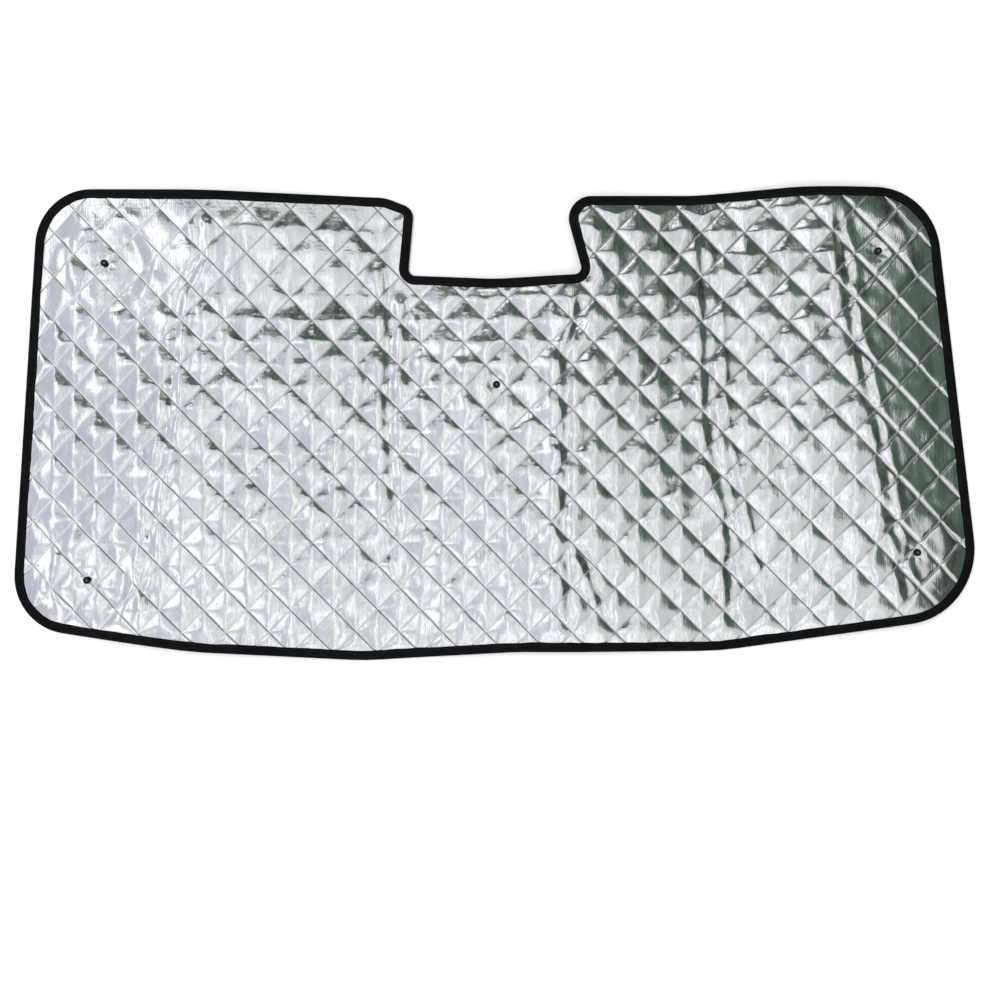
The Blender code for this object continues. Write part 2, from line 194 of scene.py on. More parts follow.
creasing = {
    "halfHeight": 0.36,  # the creases' wander is drawn over twice this
    "points": 73,
    "waver": 0.0022,  # how far a crease wanders from its line
    "fadeOut": 0.012,  # past the end of a crease, and before it
    "fadeIn": 0.020,
    "ripple": 0.0012,  # unevenness about 70 mm across, and about 200 mm across
    "swell": 0.0030,
    "hold": 0.038,  # from the binding to where the layers lie free
    "cupHold": (0.012, 0.034),  # the same round a cup
}
photo = {"scale": 0.0014583, "middle": (494, 422), "shift": (-0.0004, 0.0022)}  # scale in metres
creases = [  # pixels of the photo down each crease, and its cross-section (distance, height)
    (  # ridge at the left
        [(200, 196), (202, 260), (181, 295), (176, 360), (172, 410), (166, 450), (155, 500), (150, 550),
         (127, 632)],
        [(-0.028, 0), (-0.012, 0.0012), (0.000, -0.0006), (0.012, 0.0013), (0.024, -0.0003), (0.038, 0)],
    ),
    (  # valley below the notch's left corner, with two short creases beside it
        [(386, 262), (387, 335), (385, 420), (392, 500), (396, 590)],
        [(-0.034, 0), (-0.009, 0.0015), (0.004, -0.0009), (0.016, 0.0006), (0.032, 0)],
    ),
    (
        [(404, 276), (404, 330), (403, 385)],
        [(-0.016, 0), (-0.005, 0.0007), (0.005, -0.0010), (0.020, 0)],
    ),
    (
        [(362, 366), (337, 450), (337, 515)],
        [(-0.016, 0), (0, 0.0011), (0.016, 0)],
    ),
    (  # ridge below the notch's right corner, and its branch
        [(577, 276), (577, 322), (564, 352), (565, 490), (561, 520), (567, 570), (565, 640)],
        [(-0.036, 0), (-0.009, 0.0022), (0.005, -0.0012), (0.018, 0.0006), (0.034, 0)],
    ),
    (
        [(570, 536), (592, 590), (616, 648)],
        [(-0.022, 0), (-0.004, 0.0012), (0.007, -0.0010), (0.024, 0)],
    ),
    (  # valley right of the notch, and its branch
        [(702, 214), (707, 335), (710, 420), (720, 470), (730, 520), (733, 640)],
        [(-0.038, 0), (-0.013, 0.0015), (0.000, -0.0009), (0.012, 0.0007), (0.022, -0.0002), (0.036, 0)],
    ),
    (
        [(722, 300), (730, 420), (750, 520), (767, 606)],
        [(-0.014, 0), (0.0, 0.0010), (0.004, 0.0), (0.018, 0)],
    ),
    (  # ridge at the right, beside the stretched strip
        [(833, 205), (845, 270), (850, 320), (862, 370), (872, 410), (880, 450), (890, 510), (908, 606)],
        [(-0.036, 0), (-0.011, 0.0016), (0.002, -0.0009), (0.014, 0.0012), (0.026, 0.0000), (0.038, 0)],
    ),
]


def fromPhoto(pixels):
    scale, (middleX, middleY), (shiftX, shiftY) = photo.values()
    return [((px - middleX) * scale + shiftX, (middleY - py) * scale + shiftY) for px, py in pixels]


def noiseAt(x, y, scale, seed, octaves=3):
    return np.array([noise.fractal((a * scale, b * scale, seed), 0.6, 2.0, octaves) for a, b in zip(x, y)])


def creaseHeight(x, y):
    height = np.zeros(x.shape)
    reach = np.linspace(-creasing["halfHeight"], creasing["halfHeight"], creasing["points"])
    wander = [noise.fractal((k * 0.31, 5.0, 1.0), 0.7, 2.0, 3) for k in range(len(reach))]
    waver = np.interp(y, reach, wander)
    fadeOut, fadeIn = creasing["fadeOut"], creasing["fadeIn"]
    for i, (pixels, section) in enumerate(creases):
        lineX, lineY = zip(*fromPhoto(pixels)[::-1])
        away = x - np.interp(y, lineY, lineX) - creasing["waver"] * waver * (1 if i % 2 else -1)
        fade = smooth(y, lineY[0] - fadeOut, lineY[0] + fadeIn)
        fade = fade * (1 - smooth(y, lineY[-1] - fadeIn, lineY[-1] + fadeOut))
        for (near, low), (far, high) in zip(section, section[1:]):
            between = (away >= near) & (away < far)
            step = np.where(between, low + (high - low) * smooth(away, near, far), 0)
            height += step * fade * (1 + 0.5 * waver)
    return height


# 0 at each cup, 1 away from them all.
def cupFree(x, y, near, far):
    free = np.ones(x.shape)
    for cx, cy in cupSpots.values():
        free *= smooth(np.hypot(x - cx, y - cy), near, far)
    return free


# Height of the lie that the quilted layers share: flat under the binding, creased and uneven elsewhere.
def baseHeight(x, y, inside, edgeLie):
    height = lieHeight(x, y)
    held = 1 - smooth(inside, curtain["flap"], curtain["flap"] + creasing["hold"])
    uneven = noiseAt(x, y, 14.0, 2.0) * creasing["ripple"] + noiseAt(x, y, 5.0, 7.0, 2) * creasing["swell"]
    height += (creaseHeight(x, y) + uneven) * (1 - held) * cupFree(x, y, *creasing["cupHold"])
    return np.maximum(height * (1 - held) + edgeLie * held, 0.0)


# Position across the two families of seams; a seam lies at every whole number.
def quiltPlace(x, y):
    ax = (x - quilt["crossing"][0]) / quilt["across"]
    ay = (y - quilt["crossing"][1]) / quilt["up"]
    return ax + ay, ax - ay


# A grid whose lines follow the seams, cut off a margin inside the finished edge.
def quiltedGrid(name, steps, margin):
    low, high = quilt["first"], quilt["last"]
    cellsU, cellsV = high[0] - low[0], high[1] - low[1]
    mesh = bmesh.new()
    bmesh.ops.create_grid(mesh, x_segments=cellsU * steps, y_segments=cellsV * steps, size=1)
    halfX, halfY = quilt["across"] / 2, quilt["up"] / 2
    middleU, middleV = (low[0] + high[0]) / 2, (low[1] + high[1]) / 2
    slant = Matrix((
        (halfX * cellsU / 2, halfX * cellsV / 2, 0, quilt["crossing"][0] + halfX * (middleU + middleV)),
        (halfY * cellsU / 2, -halfY * cellsV / 2, 0, quilt["crossing"][1] + halfY * (middleU - middleV)),
        (0, 0, 1, 0), (0, 0, 0, 1)))
    bmesh.ops.transform(mesh, matrix=slant, verts=mesh.verts[:])
    x = np.array([v.co.x for v in mesh.verts])
    y = np.array([v.co.y for v in mesh.verts])
    inside, _ = insideOf(x, y)
    gone = [v for v, d in zip(mesh.verts, inside) if d < margin]
    bmesh.ops.delete(mesh, geom=gone, context="VERTS")
    bmesh.ops.reverse_faces(mesh, faces=[f for f in mesh.faces if f.normal.z < 0])
    data = bpy.data.meshes.new(name)
    mesh.to_mesh(data)
    mesh.free()
    return data


# Creases the mesh along the seams, where the thread pulls the film into a V.
def creaseSeams(data, steps):
    points = coordsOf(data)
    u, v = quiltPlace(points[:, 0], points[:, 1])
    column, row = np.rint(u * steps).astype(int), np.rint(v * steps).astype(int)
    ends = np.zeros(len(data.edges) * 2, np.int32)
    data.edges.foreach_get("vertices", ends)
    a, b = ends.reshape(-1, 2).T
    onSeam = (column[a] == column[b]) & (column[a] % steps == 0) | (row[a] == row[b]) & (row[a] % steps == 0)
    sharp = data.attributes.new("sharp_edge", "BOOLEAN", "EDGE")
    sharp.data.foreach_set("value", onSeam)


def coordsOf(data):
    flat = np.zeros(len(data.vertices) * 3, np.float32)
    data.vertices.foreach_get("co", flat)
    return flat.reshape(-1, 3).astype(float)


def setCoords(data, points):
    data.vertices.foreach_set("co", points.astype(np.float32).ravel())
    data.update()


def addPiece(name, data, body="root"):
    piece = bpy.data.objects.new(name, data)
    bpy.context.scene.collection.objects.link(piece)
    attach(piece, body)
    return piece


# A UV map along the seams, in cells of the quilting, for the stitches.
def quiltUv(data):
    points = coordsOf(data)
    u, v = quiltPlace(points[:, 0], points[:, 1])
    layer = data.uv_layers.new(name="quilting")
    corners = np.zeros(len(data.loops), np.int32)
    data.loops.foreach_get("vertex_index", corners)
    layer.data.foreach_set("uv", np.stack([u[corners], v[corners]], axis=1).astype(np.float32).ravel())


# Front film: stitched down along the seams and puffed up between them by the wadding.

film = {
    "swatch": 5,  # diamonds along each side of the simulated swatch
    "frames": 30,
    "pressure": 90.0,
    "slack": 0.016,  # spare film between the seams
    "start": 0.001,  # height that the simulation starts from, and its unevenness
    "rumple": 0.0003,
    "loft": 0.0032,  # rise of a full diamond
    "halfCell": 0.0226,  # from a seam to a diamond's middle
    "fullness": 1.25,  # 1 for a sharp pyramid, more for a flatter top
    "hip": 0.70,  # share of the pyramid in a diamond's form, the rest is the swatch's dome
    "hipSoftness": 0.16,
    "wrinkles": 0.18,  # share of the swatch's wrinkles that stays
    "lean": 0.30,  # how far a diamond's top leans to one side
    "taut": 11.0,  # added to the fullness where the film is stretched flat
    "tautPast": (-0.010, 0.030),  # distance right of the last fold
    "tautLoss": 0.58,  # share of the loft that is lost there
    "thinUp": (0.13, 0.20),  # Y and X of the upper left, where the wadding is thin
    "thinLeft": (-0.12, -0.04),
    "thinLoss": 0.58,
    "tucked": 0.0008,  # under the binding's edge, and out to where the film is free
    "released": 0.0030,
    "headHold": (0.0055, 0.020),  # the same round a cup's head
    "pucker": 0.0005,  # height and number of the puckers round a cup's head
    "puckerCount": 9,
    "puckerStart": (0.0055, 0.008),
    "puckerEnd": (0.009, 0.020),
}
filmCloth = {
    "quality": 8, "mass": 0.05, "tension_stiffness": 40, "compression_stiffness": 40, "shear_stiffness": 12,
    "bending_stiffness": 10, "tension_damping": 20, "compression_damping": 20, "shear_damping": 20,
    "air_damping": 4,
}


# The lesser of two heights, rounded where they meet.
def softLeast(a, b, softness):
    turn = np.clip(0.5 + (b - a) / softness / 2, 0, 1)
    return np.clip(b + (a - b) * turn - softness * turn * (1 - turn), 0, 1)


# Simulates a swatch of quilting, and gives how far each diamond's points move along its seams and up.
def puffedSwatch():
    cells, steps = film["swatch"], quilt["steps"]
    side = math.hypot(quilt["across"], quilt["up"]) / 2
    mesh = bmesh.new()
    bmesh.ops.create_grid(mesh, x_segments=cells * steps, y_segments=cells * steps, size=cells * side / 2)
    bmesh.ops.translate(mesh, verts=mesh.verts[:], vec=(cells * side / 2, cells * side / 2, 0))
    data = bpy.data.meshes.new("swatch")
    mesh.to_mesh(data)
    mesh.free()
    piece = bpy.data.objects.new("swatch", data)
    bpy.context.scene.collection.objects.link(piece)
    flat = coordsOf(data)
    column = np.rint(flat[:, 0] / side * steps).astype(int)
    row = np.rint(flat[:, 1] / side * steps).astype(int)
    pinned = (column % steps == 0) | (row % steps == 0)
    begin = flat.copy()
    rumple = noiseAt(flat[:, 0], flat[:, 1], 130.0, 3.0, 2) * film["rumple"]
    begin[:, 2] = np.where(pinned, 0, film["start"] + rumple)
    setCoords(data, begin)
    group = piece.vertex_groups.new(name="stitched")
    group.add([int(i) for i in np.flatnonzero(pinned)], 1.0, "REPLACE")
    cloth = piece.modifiers.new("puff", "CLOTH")
    settings = cloth.settings
    settings.vertex_group_mass = "stitched"
    for key, value in filmCloth.items():
        setattr(settings, key, value)
    settings.shrink_min = -film["slack"]
    settings.use_pressure = True
    settings.uniform_pressure_force = film["pressure"]
    settings.effector_weights.gravity = 0
    cloth.collision_settings.use_collision = False
    cloth.point_cache.frame_start, cloth.point_cache.frame_end = 1, film["frames"]
    for step in range(1, film["frames"] + 1):
        bpy.context.scene.frame_set(step)
    graph = bpy.context.evaluated_depsgraph_get()
    moved = coordsOf(piece.evaluated_get(graph).data) - flat
    bpy.context.scene.frame_set(1)
    bpy.data.objects.remove(piece)
    table = np.zeros((cells * steps + 1, cells * steps + 1, 3))
    table[column, row] = moved
    table[::steps] = 0
    table[:, ::steps] = 0
    diamonds = np.array([table[i * steps:(i + 1) * steps + 1, j * steps:(j + 1) * steps + 1]
                         for i in range(cells) for j in range(cells)])
    common = diamonds[..., 2].mean(axis=0)
    peak = np.quantile(common, 0.998)
    wrinkles = (diamonds[..., 2] - common) / peak * film["wrinkles"]
    toSeam = np.minimum(np.arange(steps + 1), np.arange(steps, -1, -1)) * 2 / steps
    a, b = np.meshgrid(toSeam, toSeam, indexing="ij")
    pyramid = softLeast(a, b, film["hipSoftness"])
    form = film["hip"] * pyramid + (1 - film["hip"]) * common / peak + wrinkles * pyramid ** 0.3
    diamonds[..., 2] = np.clip(form, 0, 1)
    print("swatch puffed: highest", peak)
    return diamonds


# Each diamond of the curtain takes the shape of one of the swatch's, turned or mirrored. Gives the moves
# along X and Y, the fullness from 0 to 1, and the lean of the top.
def puffOf(diamonds, x, y):
    steps = quilt["steps"]
    u, v = quiltPlace(x, y)
    column, row = np.rint(u * steps).astype(int), np.rint(v * steps).astype(int)
    cellU, cellV = column // steps, row // steps
    pick = (cellU * 7919 + cellV * 104729 + cellU * cellV * 31) % 9973  # a steady number for each diamond
    a, b = column % steps, row % steps
    mirrorA, mirrorB, swap = pick % 2 == 1, pick // 2 % 2 == 1, pick // 4 % 2 == 1
    a, b = np.where(mirrorA, steps - a, a), np.where(mirrorB, steps - b, b)
    a, b = np.where(swap, b, a), np.where(swap, a, b)
    moved = diamonds[pick // 8 % len(diamonds), a, b]
    alongU, alongV = np.where(swap, moved[:, 1], moved[:, 0]), np.where(swap, moved[:, 0], moved[:, 1])
    alongU, alongV = np.where(mirrorA, -alongU, alongU), np.where(mirrorB, -alongV, alongV)
    side = math.hypot(quilt["across"], quilt["up"])
    dx = (alongU + alongV) * quilt["across"] / side
    dy = (alongU - alongV) * quilt["up"] / side
    leanU, leanV = (pick * 37) % 101 / 50 - 1, (pick * 61) % 103 / 51 - 1
    overU, overV = 2 * (column % steps) / steps - 1, 2 * (row % steps) / steps - 1
    lean = 1 + film["lean"] * (leanU * overU + leanV * overV)
    return dx, dy, moved[:, 2], lean


# Rise of a full diamond, less where the film is stretched on the right and where the wadding is thin at the
# upper left, and how taut the film is, from 0 to 1.
def loftAt(x, y):
    (topX, topY), (lowX, lowY) = folds[-1][:2]
    taut = smooth(x - lowX - (topX - lowX) * (y - lowY) / (topY - lowY), *film["tautPast"])
    thin = smooth(y, *film["thinUp"]) * (1 - smooth(x, *film["thinLeft"]))
    return film["loft"] * (1 - film["thinLoss"] * thin) * (1 - film["tautLoss"] * taut), taut


def makeFrontFilm():
    data = quiltedGrid("front_film_quilted", quilt["steps"], curtain["filmCut"])
    piece = addPiece("front_film_quilted", data)
    data.shade_smooth()
    creaseSeams(data, quilt["steps"])
    points = coordsOf(data)
    x, y = points[:, 0].copy(), points[:, 1].copy()
    inside, edgeLie = insideOf(x, y)
    base = baseHeight(x, y, inside, edgeLie) + curtain["film"]
    free = smooth(inside, curtain["flap"] - film["tucked"], curtain["flap"] + film["released"])
    free *= cupFree(x, y, *film["headHold"])
    dx, dy, dome, lean = puffOf(puffedSwatch(), x, y)
    loft, taut = loftAt(x, y)
    # the binding holds the film down like a seam
    fromBinding = (inside - curtain["flap"]) / film["halfCell"] * loft / film["loft"]
    dome = softLeast(dome, np.clip(fromBinding, 0, 1), film["hipSoftness"])
    rise = loft * (1 - (1 - dome) ** (film["fullness"] + film["taut"] * taut)) * lean * free
    points[:, 0] += dx * free
    points[:, 1] += dy * free
    points[:, 2] = base + rise
    for cx, cy in cupSpots.values():  # puckers round each cup's head
        away, turn = np.hypot(x - cx, y - cy), np.arctan2(y - cy, x - cx)
        ring = smooth(away, *film["puckerStart"]) * (1 - smooth(away, *film["puckerEnd"]))
        folded = np.cos(turn * film["puckerCount"] + np.sin(turn * 2 + cx * 50) * 1.6)
        points[:, 2] += ring * film["pucker"] * (0.4 + folded)
    print("film laid:", len(points), "points, rise", rise.min(), rise.max())
    setCoords(data, points)
    quiltUv(data)
    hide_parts("front_film")
    return piece


frontFilm = makeFrontFilm()


# Back film and wadding, under the front film.

under = {
    "sag": 0.0030,  # how far a full diamond of the back film hangs down
    "sagUneven": 0.25,
    "sagFrom": 0.017,  # distance from the binding to where it is full
    "floor": 0.0004,  # the floor flattens what it carries
    "fill": 0.65,  # share of the front film's rise that the wadding has
    "fillFrom": 0.020,
    "cupSag": (0.006, 0.022),  # from a cup's middle to where each is free
    "cupFill": (0.010, 0.026),
}


# 1 in the middle of each diamond, 0 along its seams.
def pillowAt(x, y):
    u, v = quiltPlace(x, y)
    overU, overV = 2 * (u - np.floor(u)) - 1, 2 * (v - np.floor(v)) - 1
    return np.clip(1 - overU ** 2, 0, 1) * np.clip(1 - overV ** 2, 0, 1)


def makeBackFilm():
    data = quiltedGrid("back_film_quilted", quilt["backSteps"], curtain["filmCut"])
    piece = addPiece("back_film_quilted", data)
    points = coordsOf(data)
    x, y = points[:, 0], points[:, 1]
    inside, edgeLie = insideOf(x, y)
    base = baseHeight(x, y, inside, edgeLie) + curtain["backFilm"]
    uneven = 1 + under["sagUneven"] * noiseAt(x, y, 60.0, 11.0, 2)
    free = smooth(inside, curtain["flap"], curtain["flap"] + under["sagFrom"])
    sag = under["sag"] * pillowAt(x, y) ** 0.6 * uneven * free * cupFree(x, y, *under["cupSag"])
    points[:, 2] = np.maximum(base - sag, under["floor"])
    setCoords(data, points)
    data.flip_normals()
    quiltUv(data)
    data.shade_smooth()
    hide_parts("back_film")
    return piece


def makeWadding():
    data = quiltedGrid("wadding_batt", quilt["waddingSteps"], curtain["waddingCut"])
    mesh = bmesh.new()
    mesh.from_mesh(data)
    raised = bmesh.ops.extrude_face_region(mesh, geom=mesh.faces[:])["geom"]
    upper = [item for item in raised if isinstance(item, bmesh.types.BMVert)]
    for corner in mesh.verts:
        corner.co.z = 0
    for corner in upper:
        corner.co.z = 1
    bmesh.ops.recalc_face_normals(mesh, faces=mesh.faces[:])
    mesh.to_mesh(data)
    mesh.free()
    points = coordsOf(data)
    x, y, top = points[:, 0], points[:, 1], points[:, 2] > 0.5
    inside, edgeLie = insideOf(x, y)
    base = baseHeight(x, y, inside, edgeLie)
    full = pillowAt(x, y) * smooth(inside, curtain["flap"], curtain["flap"] + under["fillFrom"])
    full = full * cupFree(x, y, *under["cupFill"])
    low, high = curtain["wadding"]
    points[:, 2] = base + np.where(top, high + under["fill"] * loftAt(x, y)[0] * full, low)
    setCoords(data, points)
    data.shade_smooth()
    piece = addPiece("wadding_batt", data)
    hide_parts("wadding")
    return piece


backFilm = makeBackFilm()
wadding = makeWadding()
print("back film and wadding laid")


# Edge binding: a woven tape folded over the edge and stitched through.

binding = {
    "arcStep": math.radians(5),
    "spacing": 0.0042,  # between points along the edge
    "closing": 0.004,  # from the last point to the first
    "waver": 0.0011,  # how far the inner edge wanders
    "gather": 0.00022,  # ripple between stitches
    "stitchInset": 0.0108,
    "stitchPitch": 0.0034,
    "stitchLength": 0.0026,
    "stitchSunk": 0.00012,  # below the binding's top, and above its underside
    "stitchUnder": 0.00022,
    "thread": 0.00045,
}
tapeLine = roundedOutline(edgeCorners, binding["arcStep"], binding["spacing"])
tapeLie = lieHeight(tapeLine[:, 0], tapeLine[:, 1])
along = np.concatenate([[0], np.cumsum(np.hypot(*np.diff(tapeLine, axis=0).T))])


# How far each point of the line moves inwards for each metre of distance: more than one at a corner.
def inwardOf(line):
    before = line - np.roll(line, 1, axis=0)
    after = np.roll(line, -1, axis=0) - line
    before /= np.linalg.norm(before, axis=1)[:, None]
    after /= np.linalg.norm(after, axis=1)[:, None]
    inner = np.stack([-before[:, 1] - after[:, 1], before[:, 0] + after[:, 0]], axis=1)
    inner /= np.linalg.norm(inner, axis=1)[:, None]
    across = np.stack([-after[:, 1], after[:, 0]], axis=1)
    return inner / np.maximum(0.5, np.einsum("ij,ij->i", inner, across))[:, None]


tapeInward = inwardOf(tapeLine)
turnNear = np.array([noise.fractal((s * 18.0, 0.5, 3.0), 0.6, 2.0, 3) for s in along])
rippleNear = np.array([noise.fractal((s * 120.0, 4.5, 1.0), 0.6, 2.0, 2) for s in along])


def makeBinding():
    full, tape, flap = curtain["stack"], curtain["tape"], curtain["flap"]
    inset = binding["stitchInset"]
    section = [  # distance inside the edge, height: over the top from the inner edge, round and back under
        (flap, full - tape), (flap + 0.0003, full - tape / 2), (flap, full - 0.0001),
        (flap - 0.0012, full + 0.0001),
        (inset + 0.0010, full + 0.0001), (inset, full - 0.0003), (inset - 0.0010, full + 0.0002),
        (0.0060, full + 0.0004), (0.0028, full + 0.0002), (0.0012, full - 0.0003), (0.0003, full - 0.0012),
        (0, full / 2), (0.0003, 0.0012), (0.0012, 0.0004), (0.0028, 0.0000), (flap - 0.0012, 0.0000),
        (flap, 0.0001), (flap + 0.0003, tape / 2), (flap, tape),
        (0.0022, tape), (0.0010, tape + 0.0008), (0.0010, full - tape - 0.0008), (0.0022, full - tape),
    ]
    mesh = bmesh.new()
    slot = mesh.verts.layers.int.new("place")
    turnLayer = mesh.verts.layers.float.new("across")
    ringVerts = [mesh.verts.new((*p, 0)) for p in tapeLine]
    for i, corner in enumerate(ringVerts):
        corner[slot] = i
    ring = [mesh.edges.new(pair) for pair in zip(ringVerts, ringVerts[1:] + ringVerts[:1])]
    for step, (distance, height) in enumerate([*section, section[0]]):
        if step:
            drawn = bmesh.ops.extrude_edge_only(mesh, edges=ring)["geom"]
            ring = [item for item in drawn if isinstance(item, bmesh.types.BMEdge)]
            ringVerts = [item for item in drawn if isinstance(item, bmesh.types.BMVert)]
        onTop = 1 if height > full / 2 else 0
        for corner in ringVerts:
            i = corner[slot]
            share = distance / flap
            reach = distance + share * binding["waver"] * turnNear[i] * (1 if onTop else -0.6)
            rise = binding["gather"] * rippleNear[i] * onTop * min(1.0, share * 1.6)
            place = tapeLine[i] + tapeInward[i] * reach
            corner.co = (place[0], place[1], tapeLie[i] + height + rise)
            corner[turnLayer] = step
    bmesh.ops.remove_doubles(mesh, verts=mesh.verts[:], dist=1e-6)
    bmesh.ops.recalc_face_normals(mesh, faces=mesh.faces[:])
    uv = mesh.loops.layers.uv.new("tape")
    lengths = np.cumsum([0] + [math.dist(a, b) for a, b in zip(section, section[1:])])
    count = len(tapeLine)
    for face in mesh.faces:
        places = [loop.vert[slot] for loop in face.loops]
        wraps = max(places) - min(places) > count / 2
        steps = [loop.vert[turnLayer] for loop in face.loops]
        closes = max(steps) - min(steps) > 3
        for loop in face.loops:
            i, s = loop.vert[slot], int(loop.vert[turnLayer])
            s = len(section) - 1 if closes and s == 0 else s
            distance = along[-1] + binding["closing"] if wraps and i < count / 2 else along[i]
            loop[uv].uv = (distance, lengths[min(s, len(lengths) - 1)])
    data = bpy.data.meshes.new("binding_tape")
    mesh.to_mesh(data)
    mesh.free()
    data.shade_smooth()
    piece = addPiece("binding_tape", data)
    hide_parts("edge_binding")
    return piece


# One thread stitch, repeated along the binding on top and underneath.
def makeStitches():
    single = bmesh.new()
    bmesh.ops.create_uvsphere(single, u_segments=6, v_segments=4, radius=0.5)
    bmesh.ops.rotate(single, verts=single.verts[:], cent=(0, 0, 0),
                     matrix=Matrix.Rotation(math.pi / 2, 3, "Y"))
    bmesh.ops.scale(single, verts=single.verts[:],
                    vec=(binding["stitchLength"], binding["thread"], binding["thread"]))
    one = bpy.data.meshes.new("one_stitch")
    single.to_mesh(one)
    single.free()
    mesh = bmesh.new()
    total = along[-1] + math.dist(tapeLine[-1], tapeLine[0])
    where = np.arange(0, total, binding["stitchPitch"])
    closed = np.vstack([tapeLine, tapeLine[:1]])
    inner = np.vstack([tapeInward, tapeInward[:1]])
    lies = np.append(tapeLie, tapeLie[0])
    at = np.append(along, total)
    waver = np.append(turnNear, turnNear[0])
    inset = binding["stitchInset"]
    reach = inset + np.interp(where, at, waver) * binding["waver"] * inset / curtain["flap"]
    px = np.interp(where, at, closed[:, 0]) + np.interp(where, at, inner[:, 0]) * reach
    py = np.interp(where, at, closed[:, 1]) + np.interp(where, at, inner[:, 1]) * reach
    pz = np.interp(where, at, lies)
    for height in (curtain["stack"] - binding["stitchSunk"], binding["stitchUnder"]):
        for i, (ax, ay, az) in enumerate(zip(px, py, pz)):
            bx, by = px[(i + 1) % len(px)], py[(i + 1) % len(py)]
            bz = pz[(i + 1) % len(pz)]
            heading = Vector((bx - ax, by - ay, bz - az)).to_track_quat("X", "Z").to_matrix().to_4x4()
            place = Matrix.Translation((ax, ay, az + height)) @ heading
            one.transform(place)
            mesh.from_mesh(one)
            one.transform(place.inverted())
    data = bpy.data.meshes.new("binding_stitches")
    mesh.to_mesh(data)
    mesh.free()
    data.shade_smooth()
    return addPiece("binding_stitches", data)


bindingTape = makeBinding()
stitches = makeStitches()
print("binding sewn on:", len(bindingTape.data.polygons), "faces,", len(stitches.data.polygons),
      "in the stitches")


# Suction cups: soft moulded discs underneath, a neck through the hole and a mushroom head on top.

cup = {
    "segments": 40,
    "profile": [  # radius and height in mm, from the head's dimple down the outside and back up the dish
        (0, 15.6), (1.2, 15.6), (2.2, 15.8), (2.7, 16.6), (3.1, 17.15), (3.6, 17.3), (4.3, 17.0),
        (4.9, 16.3), (5.2, 15.4), (5.15, 14.7), (4.9, 14.1), (4.4, 13.85), (2.9, 13.8),
        (2.6, 13.5), (2.6, 10.4), (2.9, 10.05), (5.6, 10.0), (5.9, 9.8), (6.0, 9.4), (6.0, 8.1), (6.2, 7.6),
        (7.4, 7.2), (11.0, 6.2), (14.4, 4.7), (17.2, 3.1), (19.3, 1.9), (19.9, 1.3), (20.0, 0.7),
        (19.9, 0.2), (19.6, 0.02), (19.0, 0.0), (18.6, 0.1), (16.6, 1.3), (13.6, 3.1), (10.0, 4.7),
        (5.0, 5.7), (0, 5.9),
    ],
}


def makeCup(name, place):
    mesh = bmesh.new()
    points = [mesh.verts.new((place[0] + r / 1000, place[1], z / 1000)) for r, z in cup["profile"]]
    edges = [mesh.edges.new(pair) for pair in zip(points, points[1:])]
    bmesh.ops.spin(mesh, geom=[*points, *edges], cent=(*place, 0), axis=(0, 0, 1), dvec=(0, 0, 0),
                   angle=math.tau, steps=cup["segments"], use_merge=True)
    bmesh.ops.remove_doubles(mesh, verts=mesh.verts[:], dist=1e-6)
    bmesh.ops.recalc_face_normals(mesh, faces=mesh.faces[:])
    data = bpy.data.meshes.new(f"cup_{name}_moulded")
    mesh.to_mesh(data)
    mesh.free()
    data.shade_smooth()
    corners = np.zeros(len(data.loops), np.int32)
    data.loops.foreach_get("vertex_index", corners)
    points = coordsOf(data)[corners]
    radius = np.hypot(points[:, 0] - place[0], points[:, 1] - place[1]) * 1000
    layer = data.uv_layers.new(name="radius and height")
    layer.data.foreach_set("uv", np.stack([radius, points[:, 2] * 1000], axis=1).astype(np.float32).ravel())
    piece = addPiece(f"cup_{name}_moulded", data)
    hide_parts(f"suction_cup_{name}")
    return piece


cups = [makeCup(name, place) for name, place in cupSpots.items()]
print("cups pushed through:", len(cups))


# Finishes.

def linear(hexColour, alpha=1.0):
    channels = [int(hexColour[i:i + 2], 16) / 255 for i in (1, 3, 5)]
    return (*[c / 12.92 if c <= 0.04045 else ((c + 0.055) / 1.055) ** 2.4 for c in channels], alpha)


def addNode(tree, kind, settings=None, links=None, stops=None):
    node = tree.nodes.new(kind)
    for i, (place, colour) in enumerate(stops or []):
        band = node.color_ramp.elements
        element = band[i] if i < 2 else band.new(1.0)
        element.position, element.color = place, linear(colour)
    for key, value in (settings or {}).items():
        if isinstance(key, int) or key in node.inputs:
            node.inputs[key].default_value = value
        else:
            setattr(node, key, value)
    for key, socket in (links or {}).items():
        tree.links.new(socket, node.inputs[key])
    return node


def newMaterial(name):
    made = bpy.data.materials.new(name)
    made.use_nodes = True
    return made, made.node_tree, made.node_tree.nodes["Principled BSDF"]


easing = {"interpolation_type": "SMOOTHSTEP"}
falling = {"To Min": 1.0, "To Max": 0.0}
squares = {"wave_type": "BANDS", "Scale": 53.0, "Distortion": 0.4, "Detail": 1.0, "Detail Scale": 2.0}


